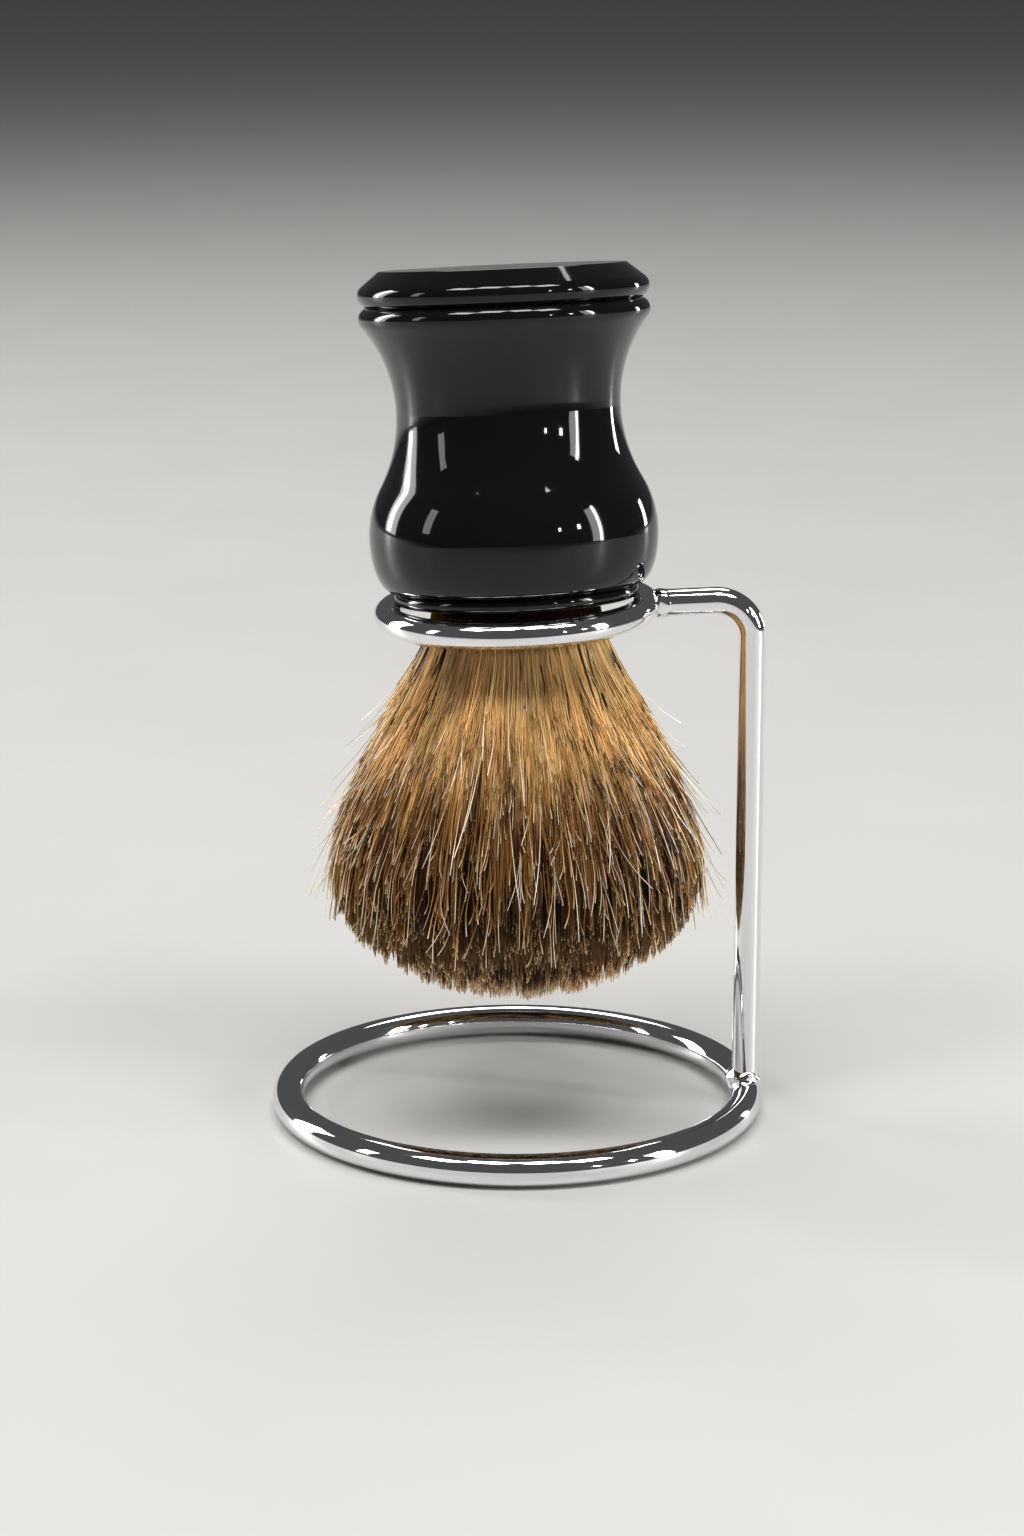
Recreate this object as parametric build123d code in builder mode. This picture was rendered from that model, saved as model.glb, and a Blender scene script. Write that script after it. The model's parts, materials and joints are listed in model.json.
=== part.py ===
from build123d import *

import os
from math import acos, asin, atan2, cos, degrees, hypot, radians, sin

# A shaving brush that hangs, hair down, in a stand of bent chrome rod.
# Millimetres, +Z up. The origin is on the table, at the centre of the stand's base ring,
# and the stand's post is on +X. The stand's arm droops a little away from the post, and the
# brush leans with it. The brush also sits askew in its ring, tipped back towards +Y, while
# its hair hangs plumb.
# Along the brush, a "rise" is measured upwards from the middle of the neck collar's rim.

# ---------------------------------------------------------------- driving dimensions

# Stand
base_rod_dia = 4.7
stand_rod_dia = 4.0
cradle_ring_dia = 37.4          # to the rod's centreline
cradle_height = 75.5            # table to the centre of the cradle ring
arm_droop = 2.5                 # degrees
bend_radius = 5.2               # to the rod's centreline
arm_end_trim = 0.5              # the coped end starts this far outside the ring's centreline
hair_to_post_clearance = 4.55   # widest hair to the side of the post
weld_bead = 0.7                 # how far a weld stands out from the rod

# Neck collar, the part of the brush that the cradle ring carries
collar_edge_dia = 2.1           # roundness of its rim
collar_inset = 2.15             # rim's centre to the cradle ring's centreline
seat_clearance = 0.1
brush_lean = 5.0                # degrees that the brush is tipped back in its ring
seat_slide = 0.85               # how far the tipped collar slides forward on the ring
sleeve_wall = 1.8
sleeve_length = 5.0

# Handle
bulb_overhang = 3.15            # bulb's widest radius beyond the collar's
bulb_shoulder_depth = 3.0       # radial depth of the rounding under the bulb
bulb_shoulder_height = 7.6      # collar to the bulb's widest
bulb_radius = 14.8              # curvature of the bulb above its widest
waist_dia = 32.1
waist_rise_from_bulb = 17.8
bead_dia = 41.6                 # across both foot beads
bead_edge_dia = 3.5             # roundness of a bead
bead_rise_from_waist = 13.4
bead_pitch = 3.3
bevel_height = 3.4              # outer bead's centre to the foot
foot_dia = 35.2
foot_edge_fillet = 0.4
spigot_dia = 27.0
spigot_length = 3.0
glue_line = 0.05                # gap around a glued or dropped-in piece

# Weight in the handle
weight_dia = 19.0
weight_edge = 1.0
weight_floor = 6.0              # solid handle between the knot socket and the weight

# Hair knot
knot_dia = 24.6
adhesive_thickness = 0.3
mouth_recess = 0.9              # set resin below the collar's mouth
plug_length = 11.0
shim_thickness = 1.5
binding_width = 2.6
binding_depth = 0.6
binding_rise_from_plug = 3.5
hair_root_gap = 0.3             # hair root's radius inside the plug's
hair_loft = 58.4                # mouth to the tip of the dome
hair_spread_dia = 54.9          # across the widest of the hair
hair_spread_drop = 39.9         # mouth to the widest of the hair
hair_root_run = 8.3             # how far the roots run before they spread
hair_flank_run = 11.8           # how far the flank steepens above the widest
hair_flex_radius = 18.0         # the roots inside this ball around the mouth stay stiff
hair_flex_gap = 0.3

# ---------------------------------------------------------------- derived sizes and places

base_rod_radius = base_rod_dia / 2
stand_rod_radius = stand_rod_dia / 2
cradle_radius = cradle_ring_dia / 2
post_radius = hair_spread_dia / 2 + hair_to_post_clearance + stand_rod_radius
weld_radius = stand_rod_radius + weld_bead

droop = radians(arm_droop)
lean = radians(brush_lean)
arm_direction = Vector(cos(droop), 0, sin(droop))
ring_up = Vector(-sin(droop), 0, cos(droop))
backwards = Vector(0, 1, 0)
cradle_center = Vector(0, 0, cradle_height)
ring_axis = Axis(cradle_center, ring_up)
ring_section_plane = Plane(origin=cradle_center, x_dir=arm_direction, z_dir=-backwards)
collar_edge_radius = collar_edge_dia / 2
rim_center_radius = cradle_radius - collar_inset


def rim_gap(rise):
    """Smallest gap between the collar's round rim and the cradle ring's rod, with the middle
    of the rim this far above the middle of the ring. Both are circles thickened by a radius."""
    gaps = []
    for turn in range(360):
        back = rim_center_radius * sin(radians(turn))
        outward = hypot(rim_center_radius * cos(radians(turn)), back * cos(lean) - seat_slide)
        height = rise - back * sin(lean)
        gaps.append(hypot(cradle_radius - outward, height))
    return min(gaps) - stand_rod_radius - collar_edge_radius


def seated_rise():
    """Height of the rim over the ring at which the gap is just the seat clearance."""
    low = 0.0
    high = cradle_radius
    for _ in range(50):
        middle = (low + high) / 2
        if rim_gap(middle) < seat_clearance:
            low = middle
        else:
            high = middle
    return high


rim_center = cradle_center - backwards * seat_slide + ring_up * seated_rise()
brush_up = ring_up * cos(lean) + backwards * sin(lean)
brush_plane = Plane(origin=rim_center, x_dir=arm_direction, z_dir=brush_up)
brush_axis = Axis(rim_center, brush_up)
section_plane = Plane(origin=rim_center, x_dir=arm_direction, z_dir=-brush_plane.y_dir)
mouth_rise = -collar_edge_radius
collar_top_rise = collar_edge_radius
mouth_center = rim_center + brush_up * mouth_rise

knot_radius = knot_dia / 2
socket_radius = knot_radius + adhesive_thickness
sleeve_radius = socket_radius + sleeve_wall
plug_rise = mouth_rise + mouth_recess
plug_top_rise = plug_rise + plug_length
socket_top_rise = plug_top_rise + shim_thickness

bulb_widest = rim_center_radius + collar_edge_radius + bulb_overhang
bulb_rise = collar_top_rise + bulb_shoulder_height
waist_radius = waist_dia / 2
waist_rise = bulb_rise + waist_rise_from_bulb
bead_edge_radius = bead_edge_dia / 2
bead_center_radius = bead_dia / 2 - bead_edge_radius
inner_bead_rise = waist_rise + bead_rise_from_waist
seam_rise = inner_bead_rise + bead_pitch / 2
outer_bead_rise = inner_bead_rise + bead_pitch
foot_rise = outer_bead_rise + bevel_height
foot_radius = foot_dia / 2
groove_angle = degrees(asin(bead_pitch / bead_edge_dia))
groove_radius = bead_center_radius + bead_edge_radius * cos(radians(groove_angle))

# The bulb and the waist are arcs that meet smoothly: both end upright, so the sum of their
# radii follows from how far apart the bulb and the waist are.
neck_in = bulb_widest - waist_radius
arc_radii_sum = (waist_rise_from_bulb**2 + neck_in**2) / (2 * neck_in)
waist_arc_radius = arc_radii_sum - bulb_radius
bulb_arc_angle = degrees(asin(waist_rise_from_bulb / arc_radii_sum))

# The flare above the waist is one arc that meets the inner bead smoothly.
flare_reach = bead_center_radius - waist_radius
flare_radius = (flare_reach**2 + bead_rise_from_waist**2 - bead_edge_radius**2) / (
    2 * (bead_edge_radius + flare_reach)
)
flare_angle = degrees(asin(bead_rise_from_waist / (flare_radius + bead_edge_radius)))

# The bevel is the straight line from the foot's edge that just touches the outer bead.
bevel_reach = hypot(bead_center_radius - foot_radius, bevel_height)
bevel_start_angle = degrees(
    atan2(bevel_height, foot_radius - bead_center_radius) - acos(bead_edge_radius / bevel_reach)
)

spigot_radius = spigot_dia / 2
weight_radius = weight_dia / 2
weight_top_rise = seam_rise - spigot_length
weight_rise = socket_top_rise + weight_floor
weight_length = weight_top_rise - weight_rise

hair_root_radius = knot_radius - hair_root_gap
hair_spread_radius = hair_spread_dia / 2
hair_section_plane = Plane(origin=mouth_center, x_dir=(1, 0, 0), z_dir=(0, -1, 0))
hair_axis = Axis(mouth_center, (0, 0, 1))

os.makedirs("parts", exist_ok=True)


def save(builder, name):
    """Label one finished piece and write it as its own file."""
    builder.part.label = name
    export_step(builder.part, f"parts/{name}.step")


# ---------------------------------------------------------------- stand

# Base ring: the thicker rod, bent into a closed circle that lies on the table.
with BuildPart() as base_ring:
    with BuildSketch(Plane.XZ):
        with Locations((post_radius, base_rod_radius)):
            Circle(base_rod_radius)
    revolve(axis=Axis.Z)

# Cradle ring: a closed circle of the thinner rod, level with the drooping arm.
with BuildPart() as cradle_ring:
    with BuildSketch(ring_section_plane):
        with Locations((cradle_radius, 0)):
            Circle(stand_rod_radius)
    revolve(axis=ring_axis)

# Stand rod: post, bend and arm in one piece, its two ends coped to fit over the rings.
arm_end = cradle_center + arm_direction * (cradle_radius + arm_end_trim)
elbow = (post_radius, cradle_height + post_radius * sin(droop) / cos(droop))
with BuildPart() as stand_rod:
    with BuildLine(Plane.XZ) as rod_path:
        FilletPolyline(
            (post_radius, base_rod_radius),
            elbow,
            (arm_end.X, arm_end.Z),
            radius=bend_radius,
        )
    with BuildSketch(Plane(origin=rod_path.line @ 0, z_dir=rod_path.line % 0)):
        Circle(stand_rod_radius)
    sweep(path=rod_path.line)
    add(base_ring.part, mode=Mode.SUBTRACT)
    add(cradle_ring.part, mode=Mode.SUBTRACT)

# Welds: a small bead of metal around each joint. The lower one is flush with the base
# ring's outer side.
base_weld_radius_out = post_radius + base_rod_radius - weld_radius
with BuildPart() as base_weld:
    with Locations((base_weld_radius_out, 0, base_rod_dia - weld_bead)):
        Sphere(weld_radius)
    add(base_ring.part, mode=Mode.SUBTRACT)
    add(stand_rod.part, mode=Mode.SUBTRACT)

cradle_weld_center = cradle_center + arm_direction * (cradle_radius + stand_rod_radius)
with BuildPart() as cradle_weld:
    with Locations(cradle_weld_center):
        Sphere(weld_radius)
    add(cradle_ring.part, mode=Mode.SUBTRACT)
    add(stand_rod.part, mode=Mode.SUBTRACT)

# ---------------------------------------------------------------- handle

# Neck collar: a flat ring with a round rim, and a sleeve that is glued up into the handle.
with BuildPart() as neck_collar:
    with BuildSketch(section_plane):
        with BuildLine():
            Polyline(
                (rim_center_radius, collar_top_rise),
                (sleeve_radius, collar_top_rise),
                (sleeve_radius, collar_top_rise + sleeve_length),
                (socket_radius, collar_top_rise + sleeve_length),
                (socket_radius, mouth_rise),
                (rim_center_radius, mouth_rise),
            )
            JernArc((rim_center_radius, mouth_rise), (1, 0), collar_edge_radius, 180)
        make_face()
    revolve(axis=brush_axis)

# Handle body: bulb, waist, flare and inner bead in one turned piece, hollowed from both
# ends for the knot, the collar's sleeve, the weight and the foot cap's spigot.
with BuildPart() as handle_body:
    with BuildSketch(section_plane):
        with BuildLine():
            EllipticalCenterArc(
                (bulb_widest - bulb_shoulder_depth, bulb_rise),
                bulb_shoulder_depth,
                bulb_shoulder_height,
                start_angle=270,
                arc_size=90,
            )
            bulb_arc = JernArc((bulb_widest, bulb_rise), (0, 1), bulb_radius, bulb_arc_angle)
            JernArc(bulb_arc @ 1, bulb_arc % 1, waist_arc_radius, -bulb_arc_angle)
            flare = JernArc((waist_radius, waist_rise), (0, 1), flare_radius, -flare_angle)
            inner_bead = JernArc(flare @ 1, flare % 1, bead_edge_radius, flare_angle + groove_angle)
            Polyline(
                inner_bead @ 1,
                (0, seam_rise),
                (0, collar_top_rise),
                (bulb_widest - bulb_shoulder_depth, collar_top_rise),
            )
        make_face()
    revolve(axis=brush_axis)
    with BuildSketch(brush_plane.offset(collar_top_rise)):
        Circle(sleeve_radius + glue_line)
    extrude(amount=sleeve_length + glue_line, mode=Mode.SUBTRACT)
    with BuildSketch(brush_plane.offset(collar_top_rise)):
        Circle(socket_radius)
    extrude(amount=socket_top_rise - collar_top_rise, mode=Mode.SUBTRACT)
    with BuildSketch(brush_plane.offset(seam_rise)):
        Circle(spigot_radius + glue_line)
    extrude(amount=-spigot_length, mode=Mode.SUBTRACT)
    with BuildSketch(brush_plane.offset(weight_top_rise)):
        Circle(weight_radius + glue_line)
    extrude(amount=-weight_length, mode=Mode.SUBTRACT)

# Foot cap: the outer bead, the bevel and the flat foot, with a spigot that is glued into
# the handle and holds the weight down.
with BuildPart() as foot_cap:
    with BuildSketch(section_plane):
        with BuildLine():
            outer_bead = CenterArc(
                (bead_center_radius, outer_bead_rise),
                bead_edge_radius,
                -groove_angle,
                groove_angle + bevel_start_angle,
            )
            Polyline(
                outer_bead @ 1,
                (foot_radius, foot_rise),
                (0, foot_rise),
                (0, weight_top_rise),
                (spigot_radius, weight_top_rise),
                (spigot_radius, seam_rise),
                outer_bead @ 0,
            )
        make_face()
    revolve(axis=brush_axis)
    foot_edge = foot_cap.edges().filter_by(GeomType.CIRCLE).sort_by(brush_axis)[-1]
    fillet(foot_edge, foot_edge_fillet)

# Weight: a steel slug that fills its pocket.
with BuildPart() as handle_weight:
    with BuildSketch(brush_plane.offset(weight_rise)):
        Circle(weight_radius)
    extrude(amount=weight_length)
    chamfer(handle_weight.edges().filter_by(GeomType.CIRCLE), weight_edge)

# ---------------------------------------------------------------- hair knot

# Binding: the band of thread round the roots, its edges rounded.
binding_rise = plug_rise + binding_rise_from_plug
with BuildPart() as knot_binding:
    with BuildSketch(section_plane):
        with Locations((knot_radius - binding_depth / 2, binding_rise)):
            SlotOverall(binding_width, binding_depth, rotation=90)
    revolve(axis=brush_axis)

# Plug: the roots of all the hairs, set in resin around the binding.
with BuildPart() as knot_plug:
    with BuildSketch(brush_plane.offset(plug_rise)):
        Circle(knot_radius)
    extrude(amount=plug_length)
    add(knot_binding.part, mode=Mode.SUBTRACT)

# Adhesive: the thin wall of glue between the plug and its socket.
with BuildPart() as socket_adhesive:
    with BuildSketch(brush_plane.offset(plug_rise)):
        Circle(socket_radius)
        Circle(knot_radius, mode=Mode.SUBTRACT)
    extrude(amount=plug_length)

# Shim: the disc behind the plug that sets the loft.
with BuildPart() as loft_shim:
    with BuildSketch(brush_plane.offset(plug_top_rise)):
        Circle(knot_radius)
    extrude(amount=shim_thickness)


def hair_outline():
    """Draw half of the hair's outline: root, spreading flank, widest point and dome."""
    Bezier(
        (hair_root_radius, 0),
        (hair_root_radius, -hair_root_run),
        (hair_spread_radius, hair_flank_run - hair_spread_drop),
        (hair_spread_radius, -hair_spread_drop),
    )
    EllipticalCenterArc(
        (0, -hair_spread_drop),
        hair_spread_radius,
        hair_loft - hair_spread_drop,
        start_angle=270,
        arc_size=90,
    )
    Polyline(
        (0, -hair_loft),
        (0, plug_length),
        (hair_root_radius, plug_length),
        (hair_root_radius, 0),
    )


# Hair base: the roots, from the plug down into the ball around the mouth.
with BuildPart() as hair_base:
    with BuildSketch(hair_section_plane):
        with BuildLine():
            hair_outline()
        make_face()
    revolve(axis=hair_axis)
    split(bisect_by=brush_plane.offset(plug_rise), keep=Keep.BOTTOM)
    with Locations(mouth_center):
        Sphere(hair_flex_radius, mode=Mode.INTERSECT)

# Hair tips: all the hair outside that ball, a little clear of it, so that it can bend.
with BuildPart() as hair_tips:
    with BuildSketch(hair_section_plane):
        with BuildLine():
            hair_outline()
        make_face()
    revolve(axis=hair_axis)
    split(bisect_by=brush_plane, keep=Keep.BOTTOM)
    with Locations(mouth_center):
        Sphere(hair_flex_radius + hair_flex_gap, mode=Mode.SUBTRACT)

# ---------------------------------------------------------------- files

pieces = {
    "base_ring": base_ring,
    "cradle_ring": cradle_ring,
    "stand_rod": stand_rod,
    "base_weld": base_weld,
    "cradle_weld": cradle_weld,
    "neck_collar": neck_collar,
    "handle_body": handle_body,
    "foot_cap": foot_cap,
    "handle_weight": handle_weight,
    "knot_binding": knot_binding,
    "knot_plug": knot_plug,
    "socket_adhesive": socket_adhesive,
    "loft_shim": loft_shim,
    "hair_base": hair_base,
    "hair_tips": hair_tips,
}
for name, builder in pieces.items():
    save(builder, name)

brush_length = foot_rise - mouth_rise + hair_loft
print(f"brush {brush_length:.1f} long, handle {2 * bulb_widest:.1f} across the bulb")
print(f"base ring {2 * (post_radius + base_rod_radius):.1f} across")
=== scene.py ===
# %% [markdown]
# # A shaving brush hanging in its stand
# The brush hangs hair down in a stand of bent chrome rod. The sizes and places come from the
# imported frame, so every piece made here starts from a number read from it. The new pieces are
# surfaces worked out with numpy: a point for each pair of parameters, all at once.

# %% Load the frame
import json
import math

import bpy
import numpy as np
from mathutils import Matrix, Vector


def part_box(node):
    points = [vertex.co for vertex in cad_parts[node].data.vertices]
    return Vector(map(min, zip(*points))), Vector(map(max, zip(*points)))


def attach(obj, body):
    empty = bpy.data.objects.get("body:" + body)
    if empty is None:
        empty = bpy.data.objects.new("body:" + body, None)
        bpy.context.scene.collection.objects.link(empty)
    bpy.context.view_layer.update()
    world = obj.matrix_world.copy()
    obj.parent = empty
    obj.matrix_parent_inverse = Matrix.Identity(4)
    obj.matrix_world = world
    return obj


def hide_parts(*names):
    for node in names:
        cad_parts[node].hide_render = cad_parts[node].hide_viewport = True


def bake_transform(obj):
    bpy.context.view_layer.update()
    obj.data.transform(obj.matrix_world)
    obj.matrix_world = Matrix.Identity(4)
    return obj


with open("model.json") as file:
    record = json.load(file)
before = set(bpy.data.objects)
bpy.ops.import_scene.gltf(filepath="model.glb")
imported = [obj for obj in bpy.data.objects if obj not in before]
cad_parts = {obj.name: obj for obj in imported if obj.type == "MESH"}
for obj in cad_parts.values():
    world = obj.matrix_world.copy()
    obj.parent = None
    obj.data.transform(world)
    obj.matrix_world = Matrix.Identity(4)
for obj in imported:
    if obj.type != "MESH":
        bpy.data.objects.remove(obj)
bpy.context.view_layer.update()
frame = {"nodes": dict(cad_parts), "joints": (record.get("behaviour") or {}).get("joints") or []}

nodes = frame["nodes"]
joints = {joint["name"]: joint for joint in frame["joints"]}
MM = 0.001
print("nodes:", len(nodes), "joints:", sorted(joints))

# %% [markdown]
# The camera stands half a metre in front of the stand and a little above the handle, with a
# long lens, so the rings look like flat ellipses and the rods stay parallel.

# %% Camera
camera = bpy.data.objects.new("camera", bpy.data.cameras.new("camera"))
bpy.context.scene.collection.objects.link(camera)
camera.data.sensor_width = 36
camera.data.lens = 82.9
camera.location = (-0.74 * MM, -500.3 * MM, 177.0 * MM)
camera.rotation_euler = (math.radians(90 - 14.04), 0, 0)
camera.data.clip_start = 10 * MM
camera.data.clip_end = 100
bpy.context.scene.camera = camera
print("camera at", [round(c, 4) for c in camera.location])

# %% [markdown]
# ## Studio
# Polished black resin and chrome show little of their own colour: they show the room. So the
# room is made first. A large soft panel overhead lights the floor, and tall narrow panels at
# the sides draw the long streaks that tell the eye where the bulb and the rods curve. The
# sky is dim, which leaves dark bands in the chrome between the streaks.

# %% Materials: a small helper
def new_finish(name, colour, roughness, metallic=0.0):
    """An empty material with one Principled shader. Returns it, its node tree and the shader."""
    material = bpy.data.materials.new(name)
    material.use_nodes = True
    tree = material.node_tree
    shader = tree.nodes["Principled BSDF"]
    shader.inputs["Base Color"].default_value = (*colour, 1)
    shader.inputs["Roughness"].default_value = roughness
    shader.inputs["Metallic"].default_value = metallic
    return material, tree, shader


def add_node(tree, kind, **settings):
    """Add a node and set its properties and sockets: sockets are named with spaces as _."""
    node = tree.nodes.new("ShaderNode" + kind)
    for key, value in settings.items():
        if key[0].isupper():
            node.inputs[key.replace("_", " ")].default_value = value
        else:
            setattr(node, key, value)
    return node


def noise_at(tree, coordinates, scale, detail=2.0, stretch=(1, 1, 1)):
    """Noise in object coordinates, scale in cycles per metre, squeezed along chosen axes."""
    mapping = add_node(tree, "Mapping", Scale=stretch)
    noise = add_node(tree, "TexNoise", Scale=scale, Detail=detail)
    tree.links.new(coordinates, mapping.inputs["Vector"])
    tree.links.new(mapping.outputs["Vector"], noise.inputs["Vector"])
    return noise.outputs["Fac"]


def remap(tree, value, low, high, to_low, to_high):
    """Map low..high of a value to to_low..to_high, held at both ends."""
    node = add_node(tree, "MapRange", From_Min=low, From_Max=high, To_Min=to_low, To_Max=to_high)
    tree.links.new(value, node.inputs["Value"])
    return node.outputs["Result"]


def object_coordinates(tree):
    return add_node(tree, "TexCoord").outputs["Object"]


def add_bump(tree, shader, heights):
    """Chain bumps onto the shader's normal: each is (height output, distance in metres)."""
    normal = None
    for height, distance in heights:
        bump = add_node(tree, "Bump", Distance=distance)
        tree.links.new(height, bump.inputs["Height"])
        if normal is not None:
            tree.links.new(normal, bump.inputs["Normal"])
        normal = bump.outputs["Normal"]
    tree.links.new(normal, shader.inputs["Normal"])


# %% Floor
def floor_finish():
    """Pale matt card with a very faint mottle."""
    material, tree, shader = new_finish("pale_card", (0.42, 0.415, 0.40), 0.5)
    coordinates = object_coordinates(tree)
    mottle = noise_at(tree, coordinates, 18, 4)
    ramp = add_node(tree, "ValToRGB")
    ramp.color_ramp.elements[0].color = (0.40, 0.395, 0.38, 1)
    ramp.color_ramp.elements[1].color = (0.44, 0.435, 0.42, 1)
    tree.links.new(mottle, ramp.inputs["Fac"])
    tree.links.new(ramp.outputs["Color"], shader.inputs["Base Color"])
    add_bump(tree, shader, [(noise_at(tree, coordinates, 900, 3), 0.02 * MM)])
    return material


FLOOR_HALF = 14.0
floor_mesh = bpy.data.meshes.new("floor")
corners = [(x, y, 0.0) for x, y in ((-1, -1), (1, -1), (1, 1), (-1, 1))]
floor_mesh.from_pydata([(x * FLOOR_HALF, y * FLOOR_HALF, z) for x, y, z in corners], [], [(0, 1, 2, 3)])
floor = bpy.data.objects.new("floor", floor_mesh)
bpy.context.scene.collection.objects.link(floor)
floor.data.materials.append(floor_finish())
print("floor", 2 * FLOOR_HALF, "m square")

# %% Lights
def soft_panel(name, place, aim, width, height, watts, warmth=1.0):
    """A rectangular soft light at place, turned to face aim."""
    light = bpy.data.lights.new(name, "AREA")
    light.shape = "RECTANGLE"
    light.size = width
    light.size_y = height
    light.energy = watts
    light.color = (1.0, warmth, warmth**2)
    panel = bpy.data.objects.new(name, light)
    bpy.context.scene.collection.objects.link(panel)
    panel.location = place
    panel.rotation_euler = (Vector(aim) - Vector(place)).to_track_quat("-Z", "Y").to_euler()
    return panel


brush_middle = (0, 0, 0.07)
for index, (sideways, width) in enumerate(((-0.84, 0.50), (-0.27, 0.44), (0.22, 0.36), (0.72, 0.46))):
    place = (sideways, -0.60, 1.70)
    soft_panel(f"panel_key_{index + 1}", place, (0, 0, 0.03), width, 0.42, 25 * width)
soft_panel("panel_behind", (0.0, 0.96, 1.50), (0, 0, 0.03), 1.1, 0.50, 12.0)


def side_panel(name, azimuth, height, width, tall, watts, warmth=1.0):
    """A panel round the brush: azimuth 0 is the camera's side and 90 the stand's post."""
    turn = math.radians(azimuth)
    place = (1.25 * math.sin(turn), -1.25 * math.cos(turn), height)
    return soft_panel(name, place, brush_middle, width, tall, watts, warmth)


side_panel("panel_left", -115, 0.42, 0.36, 0.80, 6.4, 0.98)
side_panel("panel_left_core", -117, 0.42, 0.11, 0.76, 7.2, 0.98)
side_panel("panel_fill", -74, 0.46, 0.16, 0.50, 1.2)
side_panel("panel_right", 70, 0.42, 0.24, 0.64, 3.4)
side_panel("panel_right_core", 73, 0.43, 0.06, 0.68, 5.0)
side_panel("panel_spot_1", 54, 0.42, 0.060, 0.10, 1.3)
side_panel("panel_spot_2", 37, 0.42, 0.040, 0.07, 0.7)
side_panel("panel_rim", 130, 0.16, 0.10, 0.28, 2.2)
world = bpy.data.worlds.new("dim_sky")
world.use_nodes = True
world.node_tree.nodes["Background"].inputs["Color"].default_value = (0.95, 0.97, 1.0, 1)
world.node_tree.nodes["Background"].inputs["Strength"].default_value = 0.085
bpy.context.scene.world = world
bpy.context.scene.view_settings.view_transform = "Standard"
print("lights:", len(bpy.data.lights))

# %% [markdown]
# ## Black resin
# The handle is turned and then buffed until it is glass smooth. What keeps it from looking
# like a computer's idea of black is small: the buffing leaves a faint unevenness, which makes
# the edges of reflections swim a little, and use leaves hairlines and duller smears.

# %% Black resin finish
def black_resin():
    """Near-black gloss with a slow ripple in the surface, fine hairlines and duller smears."""
    material, tree, shader = new_finish("black_resin", (0.003, 0.003, 0.0034), 0.05)
    shader.inputs["IOR"].default_value = 1.40
    coordinates = object_coordinates(tree)
    ripple = noise_at(tree, coordinates, 90, 2)
    hairlines = noise_at(tree, coordinates, 420, 2, (1, 1, 14))
    add_bump(tree, shader, [(ripple, 0.022 * MM), (hairlines, 0.0006 * MM)])
    smears = noise_at(tree, coordinates, 60, 4, (1, 1, 0.5))
    tree.links.new(remap(tree, smears, 0.45, 0.8, 0.035, 0.11), shader.inputs["Roughness"])
    return material


# %% Plain hidden pieces
def grained(name, colour, roughness, spread, scale, metallic=0.0, stretch=(1, 1, 1), depth=0.02):
    """A finish whose colour varies by spread around its base with noise, and a matching bump."""
    material, tree, shader = new_finish(name, colour, roughness, metallic)
    coordinates = object_coordinates(tree)
    grain = noise_at(tree, coordinates, scale, 4, stretch)
    ramp = add_node(tree, "ValToRGB")
    ramp.color_ramp.elements[0].position = 0.3
    ramp.color_ramp.elements[1].position = 0.7
    ramp.color_ramp.elements[0].color = (*[c * (1 - spread) for c in colour], 1)
    ramp.color_ramp.elements[1].color = (*[min(1, c * (1 + spread)) for c in colour], 1)
    tree.links.new(grain, ramp.inputs["Fac"])
    tree.links.new(ramp.outputs["Color"], shader.inputs["Base Color"])
    add_bump(tree, shader, [(grain, depth * MM)])
    return material


def wear(node_name, material):
    """Give a CAD node's every slot this material."""
    mesh = nodes[node_name].data
    if not mesh.materials:
        mesh.materials.append(material)
    for index in range(len(mesh.materials)):
        mesh.materials[index] = material


resin = black_resin()
for node_name in ("handle_body", "foot_cap", "neck_collar"):
    wear(node_name, resin)
wear("handle_weight", grained("turned_steel", (0.45, 0.45, 0.46), 0.35, 0.12, 900, 1.0, (1, 1, 9)))
wear("knot_plug", grained("set_knot_resin", (0.42, 0.27, 0.11), 0.4, 0.35, 1500, 0.0, (1, 1, 0.1)))
wear("knot_binding", grained("waxed_thread", (0.55, 0.50, 0.40), 0.75, 0.25, 1800, 0.0, (1, 1, 6)))
wear("socket_adhesive", grained("cured_adhesive", (0.60, 0.50, 0.30), 0.3, 0.1, 500))
wear("loft_shim", grained("cut_cork", (0.50, 0.33, 0.18), 0.85, 0.45, 1400, depth=0.08))

# %% [markdown]
# ## Chrome
# The stand is bright drawn rod, bent, welded and plated. Plating copies whatever is under it:
# the lines left by drawing run along the rod, and over them lie a few dull spots.

# %% Chrome finish
def chrome(name, lump=0.0):
    """Mirror metal, its roughness mottled a little. lump adds the unevenness of a weld."""
    material, tree, shader = new_finish(name, (0.80, 0.80, 0.81), 0.05, 1.0)
    coordinates = object_coordinates(tree)
    cloud = noise_at(tree, coordinates, 140, 4)
    tree.links.new(remap(tree, cloud, 0.4, 0.8, 0.03, 0.10), shader.inputs["Roughness"])
    heights = [(noise_at(tree, coordinates, 160, 2), 0.003 * MM)]
    if lump:
        heights.append((noise_at(tree, coordinates, 900, 3), lump))
    add_bump(tree, shader, heights)
    return material


stand_chrome = chrome("stand_chrome")
weld_chrome = chrome("weld_chrome", 0.010 * MM)
for node_name in ("base_ring", "cradle_ring", "stand_rod"):
    wear(node_name, stand_chrome)
# %% [markdown]
# ## Welds
# Where the rod's ends are coped onto the rings, a little metal has run round the joint and
# been plated over. Each weld is a ball stretched along the rod and pushed in and out by a few
# slow waves, so it flows into the rod instead of standing on it.

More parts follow.
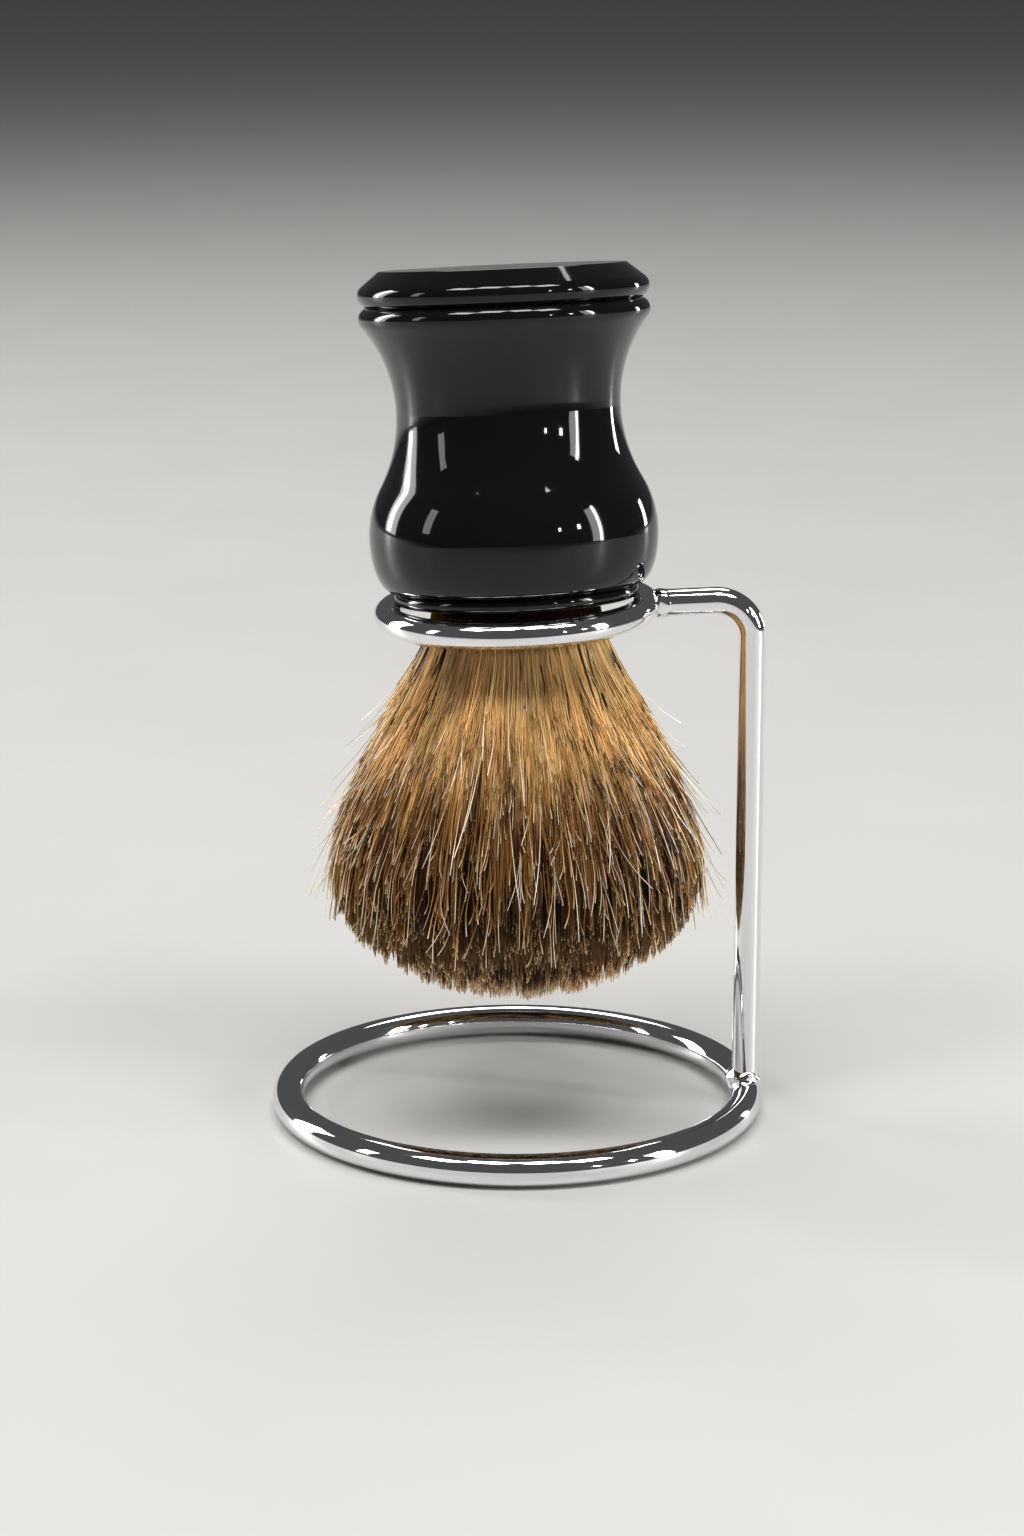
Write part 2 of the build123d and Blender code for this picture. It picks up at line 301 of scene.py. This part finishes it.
# %% Mesh helper
def new_piece(name, points, faces, material, smooth=True):
    """Make an object at the origin from points in millimetres and equal-sided faces."""
    mesh = bpy.data.meshes.new(name)
    sides = faces.shape[1]
    mesh.vertices.add(len(points))
    mesh.vertices.foreach_set("co", (points * MM).astype(np.float32).ravel())
    mesh.loops.add(faces.size)
    mesh.loops.foreach_set("vertex_index", faces.astype(np.int32).ravel())
    mesh.polygons.add(len(faces))
    mesh.polygons.foreach_set("loop_start", np.arange(0, faces.size, sides, dtype=np.int32))
    mesh.polygons.foreach_set("use_smooth", np.full(len(faces), smooth))
    mesh.update(calc_edges=True)
    mesh.validate()
    piece = bpy.data.objects.new(name, mesh)
    bpy.context.scene.collection.objects.link(piece)
    piece.data.materials.append(material)
    return piece


def grid_faces(rows, columns):
    """Triangles of a closed tube of rows of points with a single pole point at each end.
    Point 0 is the first pole, then the rows one after the other, then the last pole."""
    row, column = np.meshgrid(np.arange(rows - 1), np.arange(columns), indexing="ij")
    here = 1 + row * columns + column
    beside = 1 + row * columns + (column + 1) % columns
    lower = np.stack([here, beside, beside + columns], -1).reshape(-1, 3)
    upper = np.stack([here, beside + columns, here + columns], -1).reshape(-1, 3)
    turn = np.arange(columns)
    first = np.stack([np.zeros_like(turn), 1 + (turn + 1) % columns, 1 + turn], -1)
    base = 1 + (rows - 1) * columns
    last = np.stack([np.full_like(turn, base + columns), base + turn, base + (turn + 1) % columns], -1)
    return np.concatenate([first, lower, upper, last])


# %% Welds
def weld(name, centre, along, radius, length, lump, phase):
    """A lumpy ball: distance from the centre is the radius across the rod and the length along
    it, times one plus lump times a sum of slow sines of the direction."""
    rows, columns = 40, 64
    polar = np.linspace(0, math.pi, rows + 2)[:, None]
    turn = np.linspace(0, 2 * math.pi, columns, endpoint=False)[None, :]
    waves = (
        np.sin(3 * turn + 2 * polar + phase)
        + 0.7 * np.sin(5 * turn - 4 * polar + 2 * phase)
        + 0.5 * np.sin(2 * turn + 9 * polar + 3 * phase)
    ) * np.sin(polar) ** 2
    swell = 1 + lump * waves
    axis = np.array(along, float) / np.linalg.norm(along)
    side = np.cross(axis, (0, 1, 0))
    front = np.cross(axis, side)
    across = radius * np.sin(polar) * swell
    points = (
        np.array(centre)
        + (length * np.cos(polar) * swell)[..., None] * axis
        + (across * np.cos(turn))[..., None] * side
        + (across * np.sin(turn))[..., None] * front
    )
    points = np.concatenate([points[:1, 0], points[1:-1].reshape(-1, 3), points[-1:, 0]])
    return new_piece(name, points, grid_faces(rows, columns)[:, ::-1], weld_chrome)


ring_high, rod_high, cradle_high = (
    np.array(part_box(node_name)[1]) / MM for node_name in ("base_ring", "stand_rod", "cradle_ring")
)
for node_name, centre, along, radius, length, lump, phase in (
    ("base_weld", (rod_high[0] - 2.3, 0, ring_high[2] - 0.6), (0, 0, 1), 2.55, 2.5, 0.05, 0.4),
    ("cradle_weld", (cradle_high[0] + 0.2, 0, cradle_high[2] - 1.9), (1, 0, 0.044), 2.15, 3.0, 0.03, 1.9),
):
    piece = weld(node_name + "_metal", centre, along, radius, length, lump, phase)
    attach(piece, "stand")
    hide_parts(node_name)

# %% [markdown]
# ## Hair
# The knot is about thirty-one thousand hairs of five sorts. Soft hairs fill the inside. Around
# them, damp handling has drawn the hairs into locks that each close to a point, and the
# points end at all depths, so that the outside looks shingled. Last, single stiff hairs run
# over the locks, most of them pale, and a few leave the knot altogether.
#
# Most hairs are golden above, dark in their middle and pale at the very tip. Where the middles
# meet, the knot shows a dark band, and between the locks of that band it is nearly black: that
# is painted shade, carried by the nearly black soft hairs, slits and core. Near the mouth the
# golden, brown and banded hairs start darker, painted shade where they crowd, and the first two
# millimetres at the mouth are painted nearly black as shade too, because they can be seen
# through the gap between the ring and the collar.

# %% Hair finish
HAIR_TONES = 24
# The first colour of the golden, brown and banded sorts is darker than the next: painted shade near the
# mouth, where the hairs crowd.
HAIR_SORTS = {
    "golden": [
        (0.0, (0.42, 0.23, 0.07)),
        (0.08, (0.72, 0.46, 0.18)),
        (0.33, (0.72, 0.45, 0.165)),
        (0.60, (0.50, 0.27, 0.075)),
        (0.92, (0.42, 0.22, 0.06)),
        (0.96, (0.65, 0.46, 0.22)),
        (1.0, (0.95, 0.82, 0.56)),
    ],
    "brown": [
        (0.0, (0.42, 0.23, 0.07)),
        (0.08, (0.68, 0.43, 0.165)),
        (0.28, (0.60, 0.35, 0.11)),
        (0.42, (0.27, 0.128, 0.032)),
        (0.78, (0.20, 0.092, 0.023)),
        (0.92, (0.42, 0.225, 0.068)),
        (1.0, (0.95, 0.80, 0.52)),
    ],
    "banded": [
        (0.0, (0.42, 0.23, 0.07)),
        (0.08, (0.66, 0.41, 0.15)),
        (0.28, (0.52, 0.29, 0.09)),
        (0.40, (0.06, 0.025, 0.006)),
        (0.78, (0.024, 0.010, 0.003)),
        (0.88, (0.11, 0.050, 0.013)),
        (0.94, (0.38, 0.20, 0.06)),
        (1.0, (0.92, 0.72, 0.42)),
    ],
    # This sort's nearly black middle is painted shade: the shade inside the knot, between the locks.
    "shaded_under": [
        (0.0, (0.25, 0.13, 0.04)),
        (0.20, (0.26, 0.13, 0.035)),
        (0.36, (0.008, 0.004, 0.0015)),
        (0.85, (0.010, 0.005, 0.002)),
        (1.0, (0.20, 0.10, 0.03)),
    ],
    "guard": [
        (0.0, (0.50, 0.29, 0.10)),
        (0.62, (0.40, 0.22, 0.07)),
        (0.80, (0.62, 0.47, 0.26)),
        (0.93, (0.84, 0.74, 0.54)),
        (1.0, (0.98, 0.94, 0.84)),
    ],
}
GOLDEN, BROWN, BANDED, SHADED_UNDER, GUARD = range(len(HAIR_SORTS))
# Painted shade: the first millimetres of every hair at the mouth are coloured nearly black.
ROOT_SHADE = (0.02, 0.01, 0.004)
ROOT_END, COLOUR_START = 0.030, 0.034


def hair_finish():
    """Colour along each hair. The map's v runs from root to tip. Its u holds the hair's sort
    and, within the sort, how light the hair is."""
    material, tree, shader = new_finish("hair", (0.3, 0.2, 0.1), 0.36)
    shader.inputs["Specular IOR Level"].default_value = 0.22
    uv = add_node(tree, "UVMap", uv_map="OFBake")
    split = add_node(tree, "SeparateXYZ")
    tree.links.new(uv.outputs["UV"], split.inputs["Vector"])

    def maths(operation, a, b=None):
        node = add_node(tree, "Math", operation=operation)
        for socket, value in zip(node.inputs, (a, b)):
            if isinstance(value, (int, float)):
                socket.default_value = value
            elif value is not None:
                tree.links.new(value, socket)
        return node.outputs["Value"]

    sort_and_tone = maths("MULTIPLY", split.outputs["X"], len(HAIR_SORTS))
    tone = maths("FRACT", sort_and_tone)
    column = maths("FLOOR", maths("MULTIPLY", split.outputs["X"], len(HAIR_SORTS) * HAIR_TONES))
    shuffle = add_node(tree, "TexWhiteNoise", noise_dimensions="1D")
    tree.links.new(column, shuffle.inputs["W"])
    shift = maths("MULTIPLY", maths("SUBTRACT", shuffle.outputs["Value"], 0.5), 0.16)
    gate = maths("MULTIPLY", split.outputs["Y"], maths("SUBTRACT", 1.0, split.outputs["Y"]))
    place = maths("ADD", split.outputs["Y"], maths("MULTIPLY", shift, maths("MULTIPLY", gate, 4.0)))
    colour = None
    for index, sort_stops in enumerate(HAIR_SORTS.values()):
        stops = [(0.0, ROOT_SHADE), (ROOT_END, ROOT_SHADE), (COLOUR_START, sort_stops[0][1])]
        stops += sort_stops[1:]
        ramp = add_node(tree, "ValToRGB")
        while len(ramp.color_ramp.elements) < len(stops):
            ramp.color_ramp.elements.new(0.5)
        for element, (position, shade) in zip(ramp.color_ramp.elements, stops):
            element.position = position
            element.color = (*shade, 1)
        tree.links.new(place, ramp.inputs["Fac"])
        if colour is None:
            colour = ramp.outputs["Color"]
            continue
        chosen = add_node(tree, "Mix", data_type="RGBA")
        tree.links.new(maths("GREATER_THAN", sort_and_tone, float(index)), chosen.inputs["Factor"])
        tree.links.new(colour, chosen.inputs["A"])
        tree.links.new(ramp.outputs["Color"], chosen.inputs["B"])
        colour = chosen.outputs["Result"]
    lightness = add_node(tree, "HueSaturation")
    tree.links.new(colour, lightness.inputs["Color"])
    tree.links.new(remap(tree, tone, 0, 1, 0.58, 1.42), lightness.inputs["Value"])
    tree.links.new(remap(tree, shuffle.outputs["Value"], 0, 1, 0.485, 0.51), lightness.inputs["Hue"])
    tree.links.new(lightness.outputs["Color"], shader.inputs["Base Color"])
    return material


hair_material = hair_finish()
print("hair sorts:", list(HAIR_SORTS))

# %% [markdown]
# The knot's outline is a curve that leaves the mouth straight down, spreads, and turns
# upright at the widest point. Below that the tips lie on half an ellipsoid. Every hair keeps
# its share of the outline all the way down, which is why hairs fan out and never cross.

# %% The knot's outline
mouth = np.array(joints["hair_bend"]["pos_m"]) / MM
tips_low, tips_high = (np.array(c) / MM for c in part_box("hair_tips"))
ROOT_RADIUS = 12.0
WIDEST_DEPTH = 39.9
WIDEST_RADIUS = (tips_high[0] - tips_low[0]) / 2
LOFT = mouth[2] - tips_low[2]
LEAVING_DEPTH = 8.3
UPRIGHT_RUN = 11.8
step = np.linspace(0, 1, 80)
flank_depths = 3 * step * (1 - step) ** 2 * LEAVING_DEPTH
flank_depths = flank_depths + 3 * step**2 * (1 - step) * (WIDEST_DEPTH - UPRIGHT_RUN)
flank_depths = flank_depths + step**3 * WIDEST_DEPTH
flank_radii = ROOT_RADIUS + (WIDEST_RADIUS - ROOT_RADIUS) * step**2 * (3 - 2 * step)


def outline(depth):
    """Radius of the knot at a depth below the mouth."""
    return np.interp(depth, flank_depths, flank_radii)


def dome(share):
    """Depth of the tips of hairs that keep this share of the outline's radius."""
    return WIDEST_DEPTH + (LOFT - WIDEST_DEPTH) * np.sqrt(np.clip(1 - share**2, 0, 1))


print("mouth", mouth.round(2), "widest", round(WIDEST_RADIUS, 2), "loft", round(LOFT, 2))

# A hair's colours run to LAST_COLOUR above its tip.
LAST_COLOUR = 0.93


def down_the_knot(depth):
    """How far along its colours a hair is at each of its rings: its depth over the loft, so
    that all the dark middles meet in one band, and 1 at its last ring, the pale tip."""
    along = np.clip(depth / LOFT, 0, 1) * LAST_COLOUR
    along[..., -1] = 1.0
    return along


# %% Hair builder
def hair_points(turn, radius, depth):
    """Points in millimetres: radius and turn about the plumb line through the mouth."""
    turn = np.broadcast_to(turn, radius.shape)
    across = radius[..., None] * np.stack([np.cos(turn), np.sin(turn), np.zeros_like(turn)], -1)
    return mouth + across - depth[..., None] * np.array([0, 0, 1.0])


def hair_piece(name, points, thickness, sort, tone, along):
    """Three-sided tubes. points is hairs by rings by 3, thickness and along (root 0, tip 1) are
    hairs by rings, and sort and tone, from 0 dark to 1 light, are one number a hair. A ring's
    corners are its middle plus half the thickness times the cosine and sine of three even
    angles, on two directions at right angles to the hair."""
    hairs, rings, _ = points.shape
    heading = np.gradient(points, axis=1)
    heading /= np.linalg.norm(heading, axis=2, keepdims=True)
    outward = points - mouth
    outward[..., 2] = 0
    outward /= np.linalg.norm(outward, axis=2, keepdims=True) + 1e-9
    side = np.cross(heading, outward)
    side /= np.linalg.norm(side, axis=2, keepdims=True) + 1e-9
    front = np.cross(side, heading)
    corner = np.radians([90, 210, 330])
    ring = (
        np.cos(corner)[:, None] * side[:, :, None, :] + np.sin(corner)[:, None] * front[:, :, None, :]
    )
    vertices = points[:, :, None, :] + ring * (thickness / 2)[:, :, None, None]
    base = (np.arange(hairs) * rings * 3)[:, None, None]
    level = (np.arange(rings - 1) * 3)[None, :, None]
    here = base + level + np.arange(3)[None, None, :]
    beside = base + level + ((np.arange(3) + 1) % 3)[None, None, :]
    lower = np.stack([here, beside, beside + 3], -1)
    upper = np.stack([here, beside + 3, here + 3], -1)
    walls = np.stack([lower, upper], 3).reshape(-1, 3)
    root_cap = np.stack([base[..., 0] + 2, base[..., 0] + 1, base[..., 0]], -1).reshape(-1, 3)
    tip_cap = root_cap[:, ::-1] + (rings - 1) * 3
    faces = np.concatenate([walls, root_cap, tip_cap])

    piece = new_piece(name, vertices.reshape(-1, 3), faces, hair_material)
    column = np.floor(np.clip(tone, 0, 0.999) * HAIR_TONES)
    start = (sort * HAIR_TONES + column + 0.1) / (len(HAIR_SORTS) * HAIR_TONES)
    width = 0.8 / (len(HAIR_SORTS) * HAIR_TONES)
    left = start[:, None, None] + width * np.arange(3)[None, None, :] / 3
    right = left + width / 3
    left = np.broadcast_to(left, (hairs, rings - 1, 3))
    right = np.broadcast_to(right, (hairs, rings - 1, 3))
    above = np.broadcast_to(along[:, :-1, None], left.shape)
    below = np.broadcast_to(along[:, 1:, None], left.shape)
    lower_map = np.stack([left, above, right, above, right, below], -1)
    upper_map = np.stack([left, above, right, below, left, below], -1)
    wall_map = np.stack([lower_map, upper_map], 3).reshape(-1, 2)
    cap_corner = start[:, None] + width * np.array([0.9, 0.5, 0.1])[None, :]
    caps = []
    for ring_index, across in ((0, cap_corner), (-1, cap_corner[:, ::-1])):
        level = np.clip(along[:, ring_index, None] + np.array([0.0, 0.004, 0.0]) * (1, -1)[ring_index], 0, 1)
        caps.append(np.stack([across, np.broadcast_to(level, across.shape)], -1).reshape(-1, 2))
    layer = piece.data.uv_layers.new(name="OFBake")
    layer.data.foreach_set("uv", np.concatenate([wall_map, *caps]).astype(np.float32).ravel())

    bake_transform(piece)
    print(name, hairs, "hairs,", len(faces), "triangles")
    return piece


# %% Core: painted shade that shows between the hairs
def painted_shade_core():
    """A closed surface of revolution well inside the outline, painted nearly black as the shade between the
    hairs.
    """
    rows, columns = 70, 96
    rise, bottom = 1.6, LOFT * 0.93
    depth = np.linspace(-rise, bottom, rows)
    way_down = np.clip(depth - WIDEST_DEPTH, 0, None) / (bottom - WIDEST_DEPTH + 0.3)
    share = np.sqrt(np.clip(1 - way_down**2, 0, 1))
    turn = np.linspace(0, 2 * math.pi, columns, endpoint=False)
    radius = (0.82 * outline(depth) * share)[:, None] * np.ones(columns)
    points = hair_points(turn[None, :], radius, np.broadcast_to(depth[:, None], radius.shape))
    poles = mouth - np.array([[0, 0, -rise], [0, 0, bottom + 0.1]])
    points = np.concatenate([poles[:1], points.reshape(-1, 3), poles[1:]])
    finish = grained("hair_shadow", (0.010, 0.0055, 0.003), 0.9, 0.5, 2500, stretch=(1, 1, 0.05))
    return new_piece("hair_shade_core", points, grid_faces(rows, columns)[:, ::-1], finish)


core = painted_shade_core()
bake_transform(core)
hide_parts("hair_base", "hair_tips")

# %% [markdown]
# ### Soft hairs
# The filling: plain hairs at even spacing, dark from the middle on and painted nearly black there as the
# shade inside the knot, which end on the dome.

# %% Soft hairs
rng = np.random.default_rng(41)


def soft_hairs(name, count):
    """Hairs that keep 0.84 to 0.965 of the outline and end just above the dome."""
    turn = rng.uniform(0, 2 * math.pi, (count, 1))
    share = rng.uniform(0.84, 0.965, (count, 1))
    rings = 7
    s = np.linspace(0, 1, rings)[None, :]
    end = dome(share) - rng.uniform(0, 5, (count, 1))
    depth = -1.2 + (end + 1.2) * s
    wander = rng.normal(0, 0.02, (count, 1)) * s + rng.normal(0, 0.008, (count, rings)) * s
    radius = outline(depth) * (share + rng.normal(0, 0.006, (count, rings)) * s)
    points = hair_points(turn + wander, radius, depth)
    thickness = 0.21 * (1 - 0.55 * s**2) * np.ones((count, 1))
    return hair_piece(name, points, thickness, SHADED_UNDER, rng.random(count), down_the_knot(depth))


for index in range(2):
    soft_hairs(f"hair_soft_{index + 1}", 4800)

# %% [markdown]
# ### Locks
# A lock is a dozen or so hairs that start side by side and close to a point. The hairs at its
# edges lie a little deeper, which gives the lock a rounded face.

# %% Locks
def lock_hairs(name, locks, each, end, share, half_width, sort, lift):
    """Hairs in locks that hang from the mouth. end, share, half_width and sort hold one number
    a lock. Across a lock, a hair's turn is the lock's turn plus the hair's place times the half
    width over the radius, times how far the lock is still open: one less the cube of the way
    along. A lock's last stretch lifts off the knot as the fourth power of the way along."""
    s = np.array([0, 0.14, 0.28, 0.42, 0.56, 0.70, 0.83, 0.955, 1.0])[None, None, :]
    place = np.linspace(-1, 1, each)[None, :, None] + rng.normal(0, 0.12, (locks, each, 1))
    turn = rng.uniform(0, 2 * math.pi, (locks, 1, 1))
    finish = end[:, None, None] - np.abs(place) * 1.0 + rng.normal(0, 0.9, (locks, each, 1))
    depth = -1.2 + (finish + 1.2) * s
    middle = outline(finish / 2)
    sway = rng.normal(0, 0.025, (locks, 1, 1)) * s**2 + rng.normal(0, 0.014, (locks, each, 1)) * s**2
    curl = rng.normal(0, 0.35, (locks, each, 1)) * np.sin(math.pi * s) / middle
    spread = place * half_width[:, None, None] / middle * (1 - 0.93 * s**3)
    kept = 0.955 + (share[:, None, None] - 0.955) * s + rng.normal(0, 0.008, (locks, each, 1))
    crown = -0.3 * place**2 * np.sin(math.pi * (s * 0.8 + 0.1))
    radius = outline(depth) * kept + crown + lift * s**4 * rng.uniform(0.2, 1, (locks, each, 1))
    shape = (locks * each, s.size)
    depth = depth.reshape(shape)
    points = hair_points((turn + spread + sway + curl).reshape(shape), radius.reshape(shape), depth)
    girth = rng.uniform(0.17, 0.25, (locks * each, 1))
    thickness = girth * (1 - 0.6 * s[0] ** 3)
    tone = np.repeat(rng.random(locks), each) * 0.75 + rng.random(locks * each) * 0.25
    return hair_piece(name, points, thickness, np.repeat(sort, each), tone, down_the_knot(depth))


def shingles(name, locks, shallow, deep, chances):
    """Flank locks that end between two depths: the shorter a lock, the further out it lies.
    chances are how likely a lock is golden, brown and banded."""
    end = rng.uniform(shallow, deep, locks)
    share = 1.012 - 0.05 * (end - 13) / 29 + rng.normal(0, 0.006, locks)
    half_width = rng.uniform(0.45, 1.25, locks)
    sort = rng.choice((GOLDEN, BROWN, BANDED), locks, p=chances)
    lock_hairs(name, locks, 13, end, share, half_width, sort, 0.6)


shingles("hair_locks_1", 210, 14.0, 27.0, (0.70, 0.20, 0.10))
shingles("hair_locks_2", 230, 21.0, 36.0, (0.15, 0.35, 0.50))
shingles("hair_locks_3", 220, 30.0, 42.0, (0.0, 0.38, 0.62))

# %% Dome locks
def dome_locks(name, locks, each=12):
    """Hairs that end on the dome, gathered in locks that are spread evenly over it. They start
    half way down, inside the knot, and each ends at the dome's depth for its own place."""
    share = np.sqrt(rng.uniform(0.04, 1.0, (locks, 1, 1)))
    turn = rng.uniform(0, 2 * math.pi, (locks, 1, 1))
    half_width = rng.uniform(0.5, 1.1, (locks, 1, 1))
    place = rng.uniform(-1, 1, (2, locks, each, 1))
    own_share = np.clip(share + place[1] * half_width / WIDEST_RADIUS, 0.0, 0.995)
    finish = dome(own_share) - rng.gamma(0.8, 1.1, (locks, 1, 1)) - rng.gamma(1.2, 0.6, (locks, each, 1))
    start = finish * rng.uniform(0.42, 0.55, (locks, 1, 1))
    s = np.array([0, 0.25, 0.5, 0.75, 0.95, 1.0])[None, None, :]
    depth = start + (finish - start) * s
    radius = outline(depth) * (share + (own_share - share) * (1 - 0.75 * s**3))
    radius = np.clip(radius, 0.4, None)
    turn = turn + place[0] * half_width * (1 - 0.75 * s**3) / np.clip(radius, 3, None)
    turn = turn + rng.normal(0, 0.25, (locks, each, 1)) * s**2 / np.clip(radius, 3, None)
    shape = (locks * each, s.size)
    depth = depth.reshape(shape)
    points = hair_points(turn.reshape(shape), radius.reshape(shape), depth)
    thickness = rng.uniform(0.16, 0.23, (locks * each, 1)) * (1 - 0.35 * s[0] ** 3)
    tone = np.repeat(rng.random(locks), each) * 0.8 + rng.random(locks * each) * 0.2
    sort = np.repeat(rng.choice((BROWN, BANDED), locks, p=(0.38, 0.62)), each)
    return hair_piece(name, points, thickness, sort, tone, down_the_knot(depth))


dome_locks("hair_dome_1", 470)
dome_locks("hair_dome_2", 470)

# %% [markdown]
# ### Guard hairs and strays
# Guard hairs are stiff, pale and blunt. They lie on top of the locks at small angles to them
# and end anywhere. Strays bow out of the knot, most of them near the widest part.

# %% Guard hairs
def single_hairs(name, count, shallow, deep, run, spread, stray, sort, thick=(0.10, 0.17)):
    """Single hairs whose last run millimetres lie on the knot, and end between two depths. They
    turn away from the hairs below them by up to spread, and leave the outline by up to stray
    millimetres, as the fourth power of the way along."""
    s = np.linspace(0, 1, 12)[None, :]
    end = rng.uniform(shallow, deep, (count, 1))
    depth = np.clip(end - rng.uniform(*run, (count, 1)), -1.2, None)
    depth = depth + (end - depth) * s
    turn = rng.uniform(0, 2 * math.pi, (count, 1)) + rng.normal(0, spread, (count, 1)) * s**2
    turn = turn + rng.normal(0, 0.012, (count, 1)) * np.sin(math.pi * 2 * s)
    keep = 0.955 + 0.04 * np.sqrt(s) + 0.012 * rng.uniform(0.2, 1, (count, 1)) * s
    bow = stray * rng.uniform(0.15, 1, (count, 1)) ** 1.6 * s**4
    points = hair_points(turn, outline(depth) * keep + bow, depth)
    thickness = rng.uniform(*thick, (count, 1)) * (1 - 0.2 * s**2)
    along = 0.3 + 0.7 * s * np.ones((count, 1))
    return hair_piece(name, points, thickness, sort, rng.random(count), along)


single_hairs("hair_guard_high", 110, 9.0, 28.0, (6, 16), 0.03, 0.3, GUARD, (0.08, 0.13))
single_hairs("hair_guard", 230, 22.0, 47.0, (9, 24), 0.05, 0.6, GUARD, (0.11, 0.18))
single_hairs("hair_blunt", 700, 15.0, 47.0, (5, 13), 0.02, 0.35, BROWN, (0.16, 0.25))
# Thick nearly black hairs laid on the knot as painted shade: the dark slits between the locks.
single_hairs("hair_shade_slits", 150, 8.0, 26.0, (4, 11), 0.02, 0.1, SHADED_UNDER, (0.14, 0.34))
single_hairs("hair_strays", 170, 18.0, 45.0, (14, 30), 0.08, 4.4, GUARD, (0.12, 0.18))
single_hairs("hair_strays_brown", 130, 18.0, 47.0, (12, 26), 0.08, 3.4, BROWN, (0.13, 0.20))
